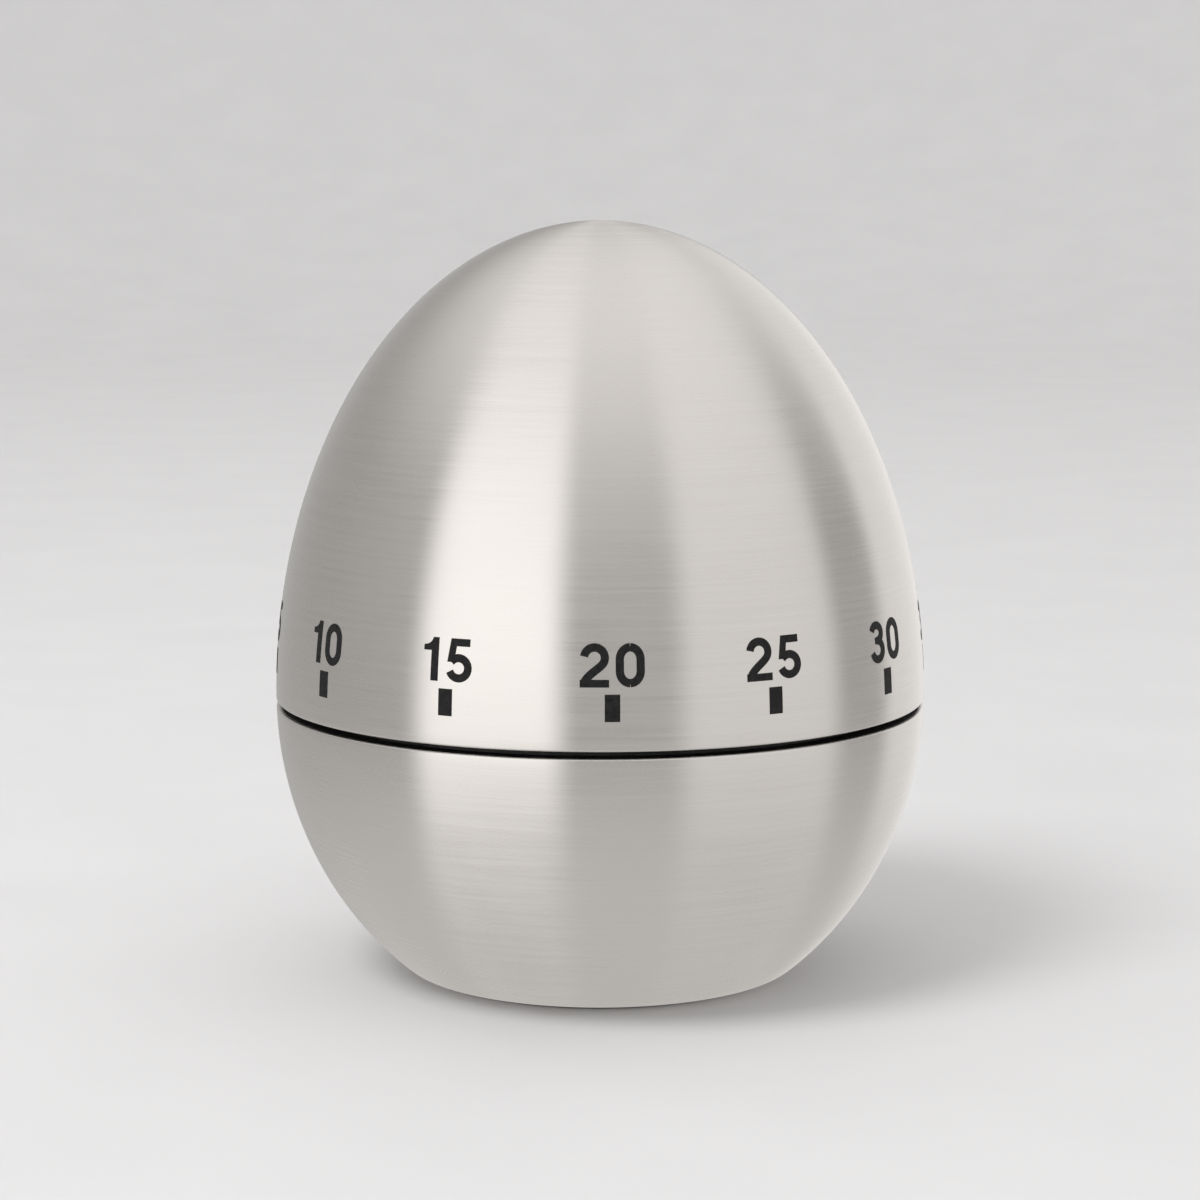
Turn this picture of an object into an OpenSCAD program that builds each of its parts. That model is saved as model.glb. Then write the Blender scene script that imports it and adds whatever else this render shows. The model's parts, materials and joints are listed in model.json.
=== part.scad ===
// Mechanical kitchen timer: a stainless steel egg in two halves.
// The upper half is the dial. It turns on a spring driven movement that is screwed into the lower half.
// Z is up. The origin is the centre of the base. Minute 20 of the scale faces -Y with the timer at zero.

/* [Egg body] */
// Largest diameter of the egg
egg_d = 60; // [60:0.5:64]
// Height of the egg above the surface that it stands on
egg_h = 69.5; // [69:0.5:76]
// Height of the widest section
waist_z = 26; // [26:0.1:26.5]
// Vertical half axis of the lower half's curve
lower_axis = 32; // [31.8:0.1:33]
// Height of the middle of the gap between the halves
seam_z = 25.5; // [25.3:0.1:25.6]
// Width of the gap between the halves
seam_gap = 0.6; // [0.5:0.05:0.7]
// Thickness of the steel halves
steel_t = 0.5; // [0.4:0.05:0.55]
// Thickness of the plastic linings
liner_t = 1.2; // [1:0.1:1.3]

/* [Minute scale] */
// Height of the numerals
digit_h = 3.7; // [3:0.05:4]
// Width of one numeral
digit_w = 2.45; // [2:0.05:2.6]
// Width of the strokes of the numerals
stroke_w = 0.7; // [0.5:0.05:0.8]
// Width of the bar under each numeral
tick_w = 1.3; // [0.8:0.1:1.6]
// Height of the bar under each numeral
tick_h = 2.3; // [1.5:0.05:2.5]
// Gap from the dial's lower edge to the bars
tick_gap = 2.6; // [2:0.1:3]
// Gap between a bar and its numeral
bar_gap = 0.6; // [0.4:0.05:0.8]

/* [Movement] */
// Radius of the two plates
plate_r = 21.5; // [21.4:0.1:21.8]
// Thickness of the plates
plate_t = 1; // [0.8:0.1:1]
// Height of the lower face of the bottom plate
bottom_plate_z = 12; // [12:0.1:12]
// Space between the plates
plate_space = 13; // [13:0.1:13]
// Teeth of the main wheel
main_teeth = 60; // [60]
// Teeth of the second and the third wheel
train_teeth = 48; // [48]
// Leaves of every pinion
leaves = 8; // [8]
// Teeth of the escape wheel
escape_teeth = 20; // [18:1:22]
// Radius of the bell
bell_r = 15; // [14:0.1:15]

/* [Hidden] */
$fn = 64;

STEEL = [0.78, 0.76, 0.74];
BRIGHT_STEEL = [0.70, 0.70, 0.71];
BRASS = [0.80, 0.64, 0.32];
BLACK_PLASTIC = [0.07, 0.07, 0.07];
INK = [0.04, 0.04, 0.045];
SPRING_STEEL = [0.30, 0.33, 0.42];

// fits
press = 0.02;
running = 0.04;

// egg
egg_r = egg_d / 2;
upper_axis = egg_h - waist_z;
shell_base_z = 0.5;
lower_rim_z = seam_z - seam_gap / 2;
upper_rim_z = seam_z + seam_gap / 2;
flange_r = 15.5;
liner_in = steel_t + 0.1;
rim_lip_h = 2.2;
rim_lip_r = egg_r - liner_in - liner_t - 0.4;
rim_lip_t = 1.2;
floor_z = shell_base_z + steel_t + 0.05;
floor_t = 1.4;
deck_z = 42.6;
deck_t = 1.4;
hub_r = 3.6;
hub_z = 31;

// scale: minutes run anticlockwise from above, and minute 20 lies 2 degrees to the right of the front;
// the 60 minutes take 336 of the 360 degrees, and the stop lies 14 degrees past them
minute_step = 5;
last_minute = 60;
minute_angle = 5.6;
numeral_gap = 0.55;
front_minute = 20;
front_offset = 2;
zero_angle = -90 + front_offset - front_minute * minute_angle;
mark_t = 0.1;
mark_sink = 0.04;

// movement: each arbor is given by its distance from the main arbor and its direction
main_module = 0.4;
second_module = 0.3;
third_module = 0.25;
second_at = polar(main_module * (main_teeth + leaves) / 2, 20);
third_at = polar(15, 53.71);
escape_at = polar(14, 81.37);
pallet_at = polar(15, 100.83);
balance_at = polar(14, 122.75);
hammer_at = polar(18.3, 42.6);
hammer_wire_at = polar(18, 15);
lever_nose_at = polar(6.6, -60);
lever_at = lever_nose_at + polar(10, 30);
lever_finger_at = polar(20.6, 36);
cock_foot_at = polar(19, 150);
click_at = polar(7, 235);
click_elbow_at = polar(4.9, 196);
spring_post_at = polar(11.7, 240);
pillar_at = [polar(19.6, 80), polar(18.5, 200), polar(18.5, 320)];
screw_at = [polar(19.6, 140), polar(19.6, 260), polar(19.6, 350)];
plate_top = bottom_plate_z + plate_t;
top_plate_z = plate_top + plate_space;
movement_top = top_plate_z + plate_t;

// heights of the wheels
main_wheel_z = 19.2;
ratchet_z = 20.4;
second_wheel_z = 22.2;
third_wheel_z = 24.2;
escape_wheel_z = 22.2;
star_z = 14.2;
fork_z = 23;
roller_z = 24;
stop_z = 27.4;
cam_z = 28.6;
balance_z = 28.2;
cock_z = 30.2;
wheel_t = 0.7;
ratchet_t = 0.8;
main_wheel_t = 1;
escape_wheel_t = 0.6;
fork_t = 0.6;
star_t = 0.8;

// arbors
arbor_r = 0.55;
pivot_r = 0.35;
staff_r = 0.5;
staff_pivot_r = 0.25;
hammer_wire_r = 0.5;
shoulder = 0.3;
main_r = 2.4;
dial_r = 2;
flat_x = 1.4;
main_pivot_r = 1;
main_foot_z = 11.2;
main_top_z = 42;

// fasteners and posts
pillar_r = 1.3;
tenon_r = 0.8;
screw_r = 0.75;
screw_head_r = 1.5;
screw_head_h = 0.9;
cover_screw_r = 13.6;
screw_play = 0.05;
post_r = 0.6;
rivet_r = 0.5;
stop_pin_r = 0.4;
stop_pin_at = polar(8.4, 200);
pin_r = 0.3;
overlap = 0.1;
cut = 1;
bell_z = 5;
bell_sheet = 0.8;

// linkages end this far above the wheel that they act on
link_gap = 0.06;
rocker_z = 16.2;
rocker_t = 0.8;
arm_z = 13.4;

function polar(r, a) = [r * cos(a), r * sin(a)];
function direction(p, q) = atan2(q[1] - p[1], q[0] - p[0]);
function span(p, q) = norm(q - p);
function half_axis(z) = z < waist_z ? lower_axis : upper_axis;
function egg_angle(z, inset) = asin((z - waist_z) / (half_axis(z) - inset));
function egg_point(a, inset) = [
    (egg_r - inset) * cos(a),
    waist_z + ((a < 0 ? lower_axis : upper_axis) - inset) * sin(a)
];
// points of the egg's side from one height to another, at a depth under its surface
function egg_side(z0, z1, inset, steps) = [
    for (i = [0:steps])
        egg_point(egg_angle(z0, inset) + (egg_angle(z1, inset) - egg_angle(z0, inset)) * i / steps, inset)
];
function egg_radius(z, inset) = egg_point(egg_angle(z, inset), inset)[0];
function arc(x, y, r, a0, a1, steps) = [
    for (i = [0:steps]) [x, y] + polar(r, a0 + (a1 - a0) * i / steps)
];
function gear_tooth(middle, pitch, module_size, addendum, dedendum, share, radius) =
    let (side = pitch * share / 2)
    [
        polar(radius - dedendum * module_size, middle - side),
        polar(radius, middle - side),
        polar(radius + 0.6 * addendum * module_size, middle - 0.79 * side),
        polar(radius + addendum * module_size, middle - 0.5 * side),
        polar(radius + addendum * module_size, middle + 0.5 * side),
        polar(radius + 0.6 * addendum * module_size, middle + 0.79 * side),
        polar(radius, middle + side),
        polar(radius - dedendum * module_size, middle + side)
    ];
function gear_outline(teeth, module_size, addendum, dedendum, share) = [
    for (i = [0:teeth - 1])
        each gear_tooth(i * 360 / teeth, 360 / teeth, module_size, addendum, dedendum, share,
                        teeth * module_size / 2)
];
function spiral_edge(r0, r1, turns, steps) = [
    for (i = [0:steps]) polar(r0 + (r1 - r0) * i / steps, turns * 360 * i / steps)
];
function reversed(list) = [for (i = [len(list) - 1:-1:0]) list[i]];

// ---- shared shapes ----

module at(p, z = 0) {
    translate([p[0], p[1], z]) children();
}

// flat bar with rounded ends from p to q
module bar(p, q, w) {
    translate(p) rotate(direction(p, q)) {
        circle(d = w, $fn = 12);
        translate([0, -w / 2]) square([span(p, q), w]);
        translate([span(p, q), 0]) circle(d = w, $fn = 12);
    }
}

module wheel_2d(teeth, module_size) {
    polygon(gear_outline(teeth, module_size, 0.9, 1.4, 0.42));
}

module pinion_2d(module_size) {
    polygon(gear_outline(leaves, module_size, 0.5, 1.3, 0.34));
}

// windows that leave a rim, a hub and spokes
module windows_2d(inner_r, outer_r, spokes, spoke_w) {
    difference() {
        circle(r = outer_r);
        circle(r = inner_r);
        for (i = [0:spokes - 1])
            rotate((i + 0.5) * 360 / spokes) translate([0, -spoke_w / 2]) square([outer_r + 1, spoke_w]);
    }
}

module train_wheel(module_size, toward) {
    outer_r = train_teeth * module_size / 2 - 2.6 * module_size;
    linear_extrude(wheel_t) difference() {
        rotate(toward) wheel_2d(train_teeth, module_size);
        windows_2d(1.9, outer_r, 5, 0.9);
        circle(r = arbor_r + press);
    }
}

// arbor between the plates with a pivot in each plate
module train_arbor(pivot) {
    z0 = plate_top + shoulder;
    z1 = top_plate_z - shoulder;
    translate([0, 0, z0]) cylinder(r = arbor_r, h = z1 - z0);
    translate([0, 0, bottom_plate_z]) cylinder(r = pivot, h = shoulder + plate_t + 0.1);
    translate([0, 0, z1 - 0.1]) cylinder(r = pivot, h = shoulder + plate_t + 0.1);
}

module slotted_head(r, h) {
    difference() {
        cylinder(r = r, h = h);
        translate([-r - 1, -0.2, h - 0.35]) cube([2 * r + 2, 0.4, 1]);
    }
}

module spiral_strip(r0, r1, turns, thickness, height) {
    steps = turns * 24;
    linear_extrude(height)
        polygon(concat(spiral_edge(r0, r1, turns, steps),
                       reversed(spiral_edge(r0 + thickness, r1 + thickness, turns, steps))));
}

// ---- lower half ----

module lower_shell() {
    color(STEEL) rotate_extrude() polygon(concat(
        egg_side(shell_base_z, lower_rim_z, 0, 14),
        egg_side(lower_rim_z, shell_base_z + steel_t, steel_t, 14),
        [[flange_r, shell_base_z + steel_t], [flange_r, shell_base_z]]));
}

module lower_liner() {
    boss_r = 1.9;
    boss_z = 6;
    floor_top = floor_z + floor_t;
    lug_w = 4;
    lug_top = floor_top + 2.1;
    color(BLACK_PLASTIC) difference() {
        union() {
            rotate_extrude() polygon(concat(
                egg_side(floor_z, lower_rim_z - 0.1, liner_in, 12),
                [[rim_lip_r, lower_rim_z - 0.1], [rim_lip_r, lower_rim_z + rim_lip_h],
                 [rim_lip_r - rim_lip_t, lower_rim_z + rim_lip_h], [rim_lip_r - rim_lip_t, lower_rim_z - 2]],
                egg_side(lower_rim_z - 4, floor_top, liner_in + liner_t, 10),
                [[flange_r, floor_top], [flange_r, floor_z]]));
            for (p = screw_at) at(p, boss_z) cylinder(r = boss_r, h = bottom_plate_z - boss_z);
            for (i = [0:2]) rotate(i * 120 + 30)
                translate([cover_screw_r - lug_w / 2, -lug_w / 2, floor_top])
                    cube([6.4, lug_w, lug_top - floor_top]);
        }
        for (p = screw_at) at(p, 7) cylinder(r = screw_r + press, h = bottom_plate_z);
        for (i = [0:2]) rotate(i * 120 + 30)
            translate([cover_screw_r, 0, 0]) cylinder(r = screw_r + press, h = lug_top + 1);
    }
}

module pointer_mark() {
    mark_h = 3.4;
    mark_w = 2.4;
    tip_z = lower_rim_z - 1;
    base_z = tip_z - mark_h;
    middle_z = (tip_z + base_z) / 2;
    lean = atan2(egg_radius(tip_z, 0) - egg_radius(base_z, 0), tip_z - base_z);
    color(INK) rotate(zero_angle) translate([egg_radius(middle_z, 0) - mark_sink, 0, middle_z])
        rotate([0, lean, 0]) rotate([90, 0, 90])
            linear_extrude(mark_t)
                polygon([[-mark_w / 2, -mark_h / 2], [mark_w / 2, -mark_h / 2], [0, mark_h / 2]]);
}

module base_cover() {
    lip_r = 16.3;
    lip_t = 0.45;
    floor_top = 1.2;
    hole_r = 0.9;
    hole_pitch = 2.9;
    color(BLACK_PLASTIC) difference() {
        union() {
            cylinder(r = lip_r, h = lip_t);
            cylinder(r = flange_r - 0.1, h = floor_z + floor_t - 0.05);
        }
        translate([0, 0, floor_top]) cylinder(r = 11, h = 3);
        for (i = [0:2]) rotate(i * 120 + 30) translate([cover_screw_r, 0, -cut]) {
            cylinder(r = screw_r + screw_play, h = 5);
            cylinder(r = screw_head_r + 0.1, h = cut + screw_head_h + screw_play);
        }
        translate([0, 0, -cut]) cylinder(r = hole_r, h = 4);
        for (ring = [1:3], i = [0:6 * ring - 1])
            rotate(i * 60 / ring) translate([ring * hole_pitch, 0, -cut]) cylinder(r = hole_r, h = 4);
    }
}

module base_screws() {
    color(BRIGHT_STEEL) for (i = [0:2]) rotate(i * 120 + 30) translate([cover_screw_r, 0, 0.05]) {
        translate([0, 0, screw_head_h]) mirror([0, 0, 1]) slotted_head(screw_head_r, screw_head_h);
        translate([0, 0, screw_head_h - 0.1]) cylinder(r = screw_r, h = 3.4);
    }
}

// ---- movement frame ----

module bottom_plate() {
    slot_way = direction(hammer_at, hammer_wire_at) + 90;
    color(BRASS) translate([0, 0, bottom_plate_z]) linear_extrude(plate_t) difference() {
        circle(r = plate_r);
        circle(r = main_pivot_r + running);
        for (p = [second_at, third_at, escape_at, pallet_at]) translate(p) circle(r = pivot_r + running);
        translate(balance_at) circle(r = staff_pivot_r + running);
        translate(hammer_at) circle(r = tenon_r + press);
        translate(spring_post_at) circle(r = post_r + press);
        for (p = pillar_at) translate(p) circle(r = tenon_r + press);
        for (p = screw_at) translate(p) circle(r = screw_r + screw_play);
        bar(hammer_wire_at + polar(0.75, slot_way), hammer_wire_at - polar(1.6, slot_way), 1.6);
    }
}

module top_plate() {
    notch_way = direction(lever_at, lever_finger_at) - 90;
    color(BRASS) translate([0, 0, top_plate_z]) linear_extrude(plate_t) difference() {
        circle(r = plate_r);
        circle(r = dial_r + running);
        for (p = [second_at, third_at, escape_at, pallet_at]) translate(p) circle(r = pivot_r + running);
        translate(balance_at) circle(r = 0.9);
        translate(lever_at) circle(r = tenon_r + press);
        translate(stop_pin_at) circle(r = stop_pin_r + press);
        translate(cock_foot_at) circle(r = screw_r + press);
        for (p = pillar_at) translate(p) circle(r = tenon_r + screw_play);
        bar(lever_finger_at - polar(0.5, notch_way), lever_finger_at + polar(5, notch_way), 1.6);
    }
}

module plate_pillars() {
    color(BRIGHT_STEEL) for (p = pillar_at) at(p) {
        translate([0, 0, bottom_plate_z]) cylinder(r = tenon_r, h = plate_t + 0.1);
        translate([0, 0, plate_top]) cylinder(r = pillar_r, h = plate_space);
        translate([0, 0, top_plate_z - 0.1]) cylinder(r = tenon_r, h = plate_t + 1.5);
    }
}

module pillar_nuts() {
    color(BRIGHT_STEEL) for (p = pillar_at) at(p, movement_top) difference() {
        cylinder(r = pillar_r + 0.45, h = 1.1, $fn = 6);
        translate([0, 0, -cut]) cylinder(r = tenon_r + press, h = 3);
    }
}

module movement_screws() {
    color(BRIGHT_STEEL) for (p = screw_at) at(p) {
        translate([0, 0, plate_top]) slotted_head(screw_head_r, screw_head_h);
        translate([0, 0, 7.5]) cylinder(r = screw_r, h = plate_top - 7.4);
    }
}

module mainspring() {
    strip_z = plate_top + 1;
    strip_h = 4.5;
    strip_t = 0.3;
    turns = 7;
    outer_r = span([0, 0], spring_post_at) - post_r - strip_t - overlap;
    color(SPRING_STEEL) translate([0, 0, strip_z]) rotate(240)
        spiral_strip(main_r + 0.2, outer_r, turns, strip_t, strip_h);
}

module spring_post() {
    color(BRIGHT_STEEL) at(spring_post_at, bottom_plate_z) cylinder(r = post_r, h = 6.5);
}

module stop_pin() {
    color(BRIGHT_STEEL) at(stop_pin_at, top_plate_z) cylinder(r = stop_pin_r, h = stop_z + 0.7 - top_plate_z);
}

// ---- bell ----

module bell() {
    height = 5.5;
    corner = 2;
    hole_r = screw_r + 0.1;
    color(BRIGHT_STEEL) rotate_extrude() polygon(concat(
        [[hole_r, bell_z]],
        arc(bell_r - corner, bell_z + corner, corner, -90, 0, 6),
        [[bell_r, bell_z + height], [bell_r - bell_sheet, bell_z + height]],
        arc(bell_r - corner, bell_z + corner, corner - bell_sheet, 0, -90, 6),
        [[hole_r, bell_z + bell_sheet]]));
}

module bell_post() {
    color(BRASS) difference() {
        post_z = bell_z + bell_sheet;
        translate([0, 0, post_z]) cylinder(r = 2.5, h = bottom_plate_z - post_z);
        translate([0, 0, main_foot_z - 0.4]) cylinder(r = main_pivot_r + 0.4, h = 2);
        translate([0, 0, bell_z]) cylinder(r = screw_r + press, h = 4.2);
    }
}

module bell_screw() {
    color(BRIGHT_STEEL) {
        translate([0, 0, bell_z]) mirror([0, 0, 1]) slotted_head(2, screw_head_h + 0.2);
        translate([0, 0, bell_z - 0.1]) cylinder(r = screw_r, h = 4);
    }
}

// ---- balance bridge ----

module balance_cock() {
    color(BRASS) difference() {
        union() {
            at(cock_foot_at, movement_top) cylinder(r = 2, h = cock_z - movement_top);
            translate([0, 0, cock_z]) linear_extrude(1) bar(cock_foot_at, balance_at, 4);
        }
        at(balance_at, cock_z - 1) cylinder(r = staff_pivot_r + running, h = 3);
        at(cock_foot_at, movement_top - 1) cylinder(r = screw_r + screw_play, h = 6);
    }
}

module cock_screw() {
    color(BRIGHT_STEEL) at(cock_foot_at) {
        translate([0, 0, cock_z + 1]) slotted_head(1.3, 0.7);
        translate([0, 0, top_plate_z]) cylinder(r = screw_r, h = cock_z + 1.1 - top_plate_z);
    }
}

module hairspring() {
    inner_r = 1.05;
    outer_r = 4.05;
    turns = 5;
    strip_t = 0.12;
    strip_h = 0.35;
    color(SPRING_STEEL) at(balance_at, balance_z + 1.1) rotate(direction(balance_at, cock_foot_at))
        spiral_strip(inner_r, outer_r, turns, strip_t, strip_h);
}

module hairspring_stud() {
    reach = direction(balance_at, cock_foot_at);
    foot_z = balance_z + 0.95;
    color(BRASS) at(balance_at + polar(4.55, reach), foot_z) cylinder(r = 0.35, h = cock_z - foot_z);
}

module hammer_stud() {
    color(BRIGHT_STEEL) at(hammer_at) {
        translate([0, 0, bottom_plate_z]) cylinder(r = tenon_r, h = plate_t + 0.1);
        translate([0, 0, plate_top]) cylinder(r = post_r, h = rocker_z + rocker_t + 0.6 - plate_top);
    }
}

module lever_stud() {
    color(BRIGHT_STEEL) at(lever_at) {
        translate([0, 0, top_plate_z]) cylinder(r = tenon_r, h = plate_t + 0.1);
        translate([0, 0, movement_top]) cylinder(r = 1.2, h = cam_z - movement_top);
        translate([0, 0, cam_z - overlap]) cylinder(r = post_r, h = 1.4);
    }
}

// ---- dial half ----

module upper_shell() {
    color(STEEL) rotate_extrude() polygon(concat(
        egg_side(upper_rim_z, egg_h, 0, 30),
        egg_side(egg_h - steel_t, upper_rim_z, steel_t, 30)));
}

module d_profile(r, flat) {
    difference() {
        circle(r = r);
        translate([flat, -r - 1]) square(2 * r + 2);
    }
}

module dial_liner() {
    inner = liner_in + liner_t;
    rib_r = egg_radius(deck_z, inner) + 0.4;
    color(BLACK_PLASTIC) difference() {
        union() {
            rotate_extrude() polygon(concat(
                egg_side(upper_rim_z + 0.2, deck_z + deck_t, liner_in, 12),
                [[0, deck_z + deck_t], [0, hub_z], [hub_r, hub_z], [hub_r, deck_z]],
                egg_side(deck_z, upper_rim_z + 0.2, inner, 12)));
            for (i = [0:5]) rotate(i * 60)
                translate([hub_r - 0.5, -0.6, deck_z - 3]) cube([rib_r - hub_r + 0.5, 1.2, 3.2]);
        }
        translate([0, 0, hub_z - 1]) linear_extrude(main_top_z - hub_z + 1.2)
            d_profile(dial_r + press, flat_x + press);
    }
}

module stroke(points) {
    for (i = [0:len(points) - 2]) {
        translate(points[i]) rotate(direction(points[i], points[i + 1]))
            translate([0, -stroke_w / 2]) square([span(points[i], points[i + 1]), stroke_w]);
        translate(points[i + 1]) circle(d = stroke_w, $fn = 8);
    }
    translate(points[0]) circle(d = stroke_w, $fn = 8);
}

module digit_2d(n) {
    reach = (digit_w - stroke_w) / 2;
    low = stroke_w / 2;
    high = digit_h - stroke_w / 2;
    bowl = digit_h * 0.29;
    if (n == 0)
        stroke(concat(arc(0, high - reach, reach, 180, 0, 6), arc(0, low + reach, reach, 0, -180, 6),
                      [[-reach, high - reach]]));
    if (n == 1) stroke([[-0.55, high - 0.6], [0.25, high], [0.25, low]]);
    if (n == 2) stroke(concat(arc(0, high - reach, reach, 165, -40, 7), [[-reach, low], [reach, low]]));
    if (n == 3)
        stroke(concat(arc(0, high - reach * 0.9, reach * 0.9, 150, -80, 7),
                      arc(0, low + reach, reach, 75, -150, 7)));
    if (n == 4)
        stroke([[0.3, low], [0.3, high], [-reach, low + bowl], [reach, low + bowl]]);
    if (n == 5)
        stroke(concat([[reach, high], [-reach * 0.75, high], [-reach * 0.9, digit_h * 0.5]],
                      arc(0, low + reach, reach, 125, -150, 8)));
    if (n == 6)
        stroke(concat([[reach * 0.8, high - 0.2]], arc(0, high - reach, reach, 80, 180, 4),
                      arc(0, low + reach, reach, 180, -180, 12)));
}

// a flat mark laid on the dial: its foot is at height z, in the direction a
module on_dial(a, z, h) {
    middle = z + h / 2;
    lean = atan2(egg_radius(z + h, 0) - egg_radius(z, 0), h);
    rotate(a) translate([egg_radius(middle, 0) - mark_sink, 0, middle])
        rotate([0, lean, 0]) rotate([90, 0, 90]) linear_extrude(mark_t) translate([0, -h / 2]) children();
}

module minute_scale() {
    tick_z = upper_rim_z + tick_gap;
    digit_z = tick_z + tick_h + bar_gap;
    digit_step = (digit_w + numeral_gap) / 2 / egg_r * 180 / PI;
    color(INK) for (minute = [0:minute_step:last_minute]) {
        a = zero_angle + minute * minute_angle;
        on_dial(a, tick_z, tick_h) translate([-tick_w / 2, 0]) square([tick_w, tick_h]);
        if (minute < 10) on_dial(a, digit_z, digit_h) digit_2d(minute);
        else {
            on_dial(a - digit_step, digit_z, digit_h) digit_2d(floor(minute / 10));
            on_dial(a + digit_step, digit_z, digit_h) digit_2d(minute % 10);
        }
    }
}

module main_arbor() {
    color(BRIGHT_STEEL) {
        translate([0, 0, main_foot_z]) cylinder(r = main_pivot_r, h = plate_top + 0.5 - main_foot_z);
        translate([0, 0, plate_top + 0.4]) cylinder(r = main_r, h = plate_space - 0.8);
        translate([0, 0, main_wheel_z - 0.5]) cylinder(r = 3.4, h = 0.45);
        translate([0, 0, top_plate_z - 0.5]) cylinder(r = dial_r, h = plate_t + 0.7);
        translate([0, 0, movement_top]) linear_extrude(main_top_z - movement_top) d_profile(dial_r, flat_x);
    }
}

module main_wheel() {
    color(BRASS) translate([0, 0, main_wheel_z]) linear_extrude(main_wheel_t) difference() {
        rotate(direction([0, 0], second_at)) wheel_2d(main_teeth, main_module);
        circle(r = main_r + press);
        windows_2d(8.6, 10.6, 6, 1.6);
        translate(click_at) circle(r = rivet_r + press);
    }
}

module ratchet_wheel() {
    teeth = 16;
    pitch = 360 / teeth;
    color(BRIGHT_STEEL) translate([0, 0, ratchet_z]) linear_extrude(ratchet_t) difference() {
        rotate(184) polygon([
            for (i = [0:teeth - 1]) each [polar(4.2, i * pitch), polar(3.5, i * pitch + 1)]]);
        circle(r = main_r + press);
    }
}

// open ring that keeps the wheels on the main arbor
module arbor_clip() {
    color(BRIGHT_STEEL) translate([0, 0, ratchet_z + ratchet_t + 0.05]) linear_extrude(0.5) difference() {
        circle(r = 3.7);
        circle(r = main_r + press);
        translate([0, -1.3]) square([5, 2.6]);
    }
}

module click() {
    tip = polar(4.08, 189);
    color(BRIGHT_STEEL) translate([0, 0, ratchet_z]) linear_extrude(ratchet_t) difference() {
        union() {
            translate(click_at) circle(r = 1.1);
            bar(click_at, click_elbow_at, 0.9);
            bar(click_elbow_at, tip, 0.4);
        }
        translate(click_at) circle(r = rivet_r + running);
    }
}

module click_rivet() {
    color(BRASS) at(click_at) {
        head_z = ratchet_z + ratchet_t + screw_play;
        translate([0, 0, main_wheel_z]) cylinder(r = rivet_r, h = head_z - main_wheel_z + overlap / 2);
        translate([0, 0, head_z]) cylinder(r = 0.9, h = 0.35);
    }
}

module click_spring() {
    foot = polar(7.2, 150);
    free_end = polar(span([0, 0], click_elbow_at) + 0.62, 195);
    color(SPRING_STEEL) translate([0, 0, main_wheel_z + main_wheel_t]) linear_extrude(0.9) {
        translate(foot) circle(r = 0.7);
        bar(foot, free_end, 0.25);
    }
}

module stop_finger() {
    finger_w = 0.6;
    finger_l = span([0, 0], stop_pin_at) + 0.6;
    color(BRIGHT_STEEL) translate([0, 0, stop_z]) linear_extrude(0.6) difference() {
        union() {
            circle(r = 3.4);
            rotate(195) translate([0, -finger_w / 2]) square([finger_l, finger_w]);
        }
        d_profile(dial_r + press, flat_x + press);
    }
}

module alarm_cam() {
    cam_r = 6;
    notch_depth = 1;
    notch_w = 1.5;
    color(BRASS) translate([0, 0, cam_z]) linear_extrude(0.8) difference() {
        circle(r = cam_r);
        rotate(-60) translate([cam_r - notch_depth, -notch_w / 2]) square([3, notch_w]);
        d_profile(dial_r + press, flat_x + press);
    }
}

// ---- wheel train ----

module second_arbor() {
    mesh_way = direction(second_at, [0, 0]);
    color(BRIGHT_STEEL) at(second_at) {
        train_arbor(pivot_r);
        translate([0, 0, main_wheel_z - 0.3]) linear_extrude(main_wheel_t + 0.6)
            rotate(mesh_way + 180 / leaves) pinion_2d(main_module);
    }
}

module second_wheel() {
    color(BRASS) at(second_at, second_wheel_z) train_wheel(second_module, direction(second_at, third_at));
}

module third_arbor() {
    mesh_way = direction(third_at, second_at);
    color(BRIGHT_STEEL) at(third_at) {
        train_arbor(pivot_r);
        translate([0, 0, second_wheel_z - 0.4]) linear_extrude(wheel_t + 0.8)
            rotate(mesh_way + 180 / leaves) pinion_2d(second_module);
    }
}

module third_wheel() {
    color(BRASS) at(third_at, third_wheel_z) train_wheel(third_module, direction(third_at, escape_at));
}

module hammer_star() {
    teeth = 10;
    tip_r = 3;
    root_r = 1.9;
    pitch = 360 / teeth;
    color(BRIGHT_STEEL) at(third_at, star_z) linear_extrude(star_t) difference() {
        polygon([for (i = [0:teeth - 1]) each [polar(tip_r, i * pitch), polar(root_r, (i + 0.5) * pitch)]]);
        circle(r = arbor_r + press);
    }
}

module escape_arbor() {
    mesh_way = direction(escape_at, third_at);
    color(BRIGHT_STEEL) at(escape_at) {
        train_arbor(pivot_r);
        translate([0, 0, third_wheel_z - 0.35]) linear_extrude(wheel_t + 0.7)
            rotate(mesh_way + 180 / leaves) pinion_2d(third_module);
    }
}

module escape_wheel() {
    tip_r = 3.8;
    root_r = 3.1;
    pitch = 360 / escape_teeth;
    color(BRASS) at(escape_at, escape_wheel_z) linear_extrude(escape_wheel_t) difference() {
        polygon([for (i = [0:escape_teeth - 1]) each [
            polar(root_r, (i - 0.35) * pitch),
            polar(tip_r, i * pitch),
            polar(tip_r - 0.05, (i + 0.12) * pitch),
            polar(root_r, (i + 0.12) * pitch)]]);
        windows_2d(1.3, 2.6, 4, 0.6);
        circle(r = arbor_r + press);
    }
}

// ---- escapement ----

module pallet_arbor() {
    color(BRIGHT_STEEL) at(pallet_at) train_arbor(pivot_r);
}

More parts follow.
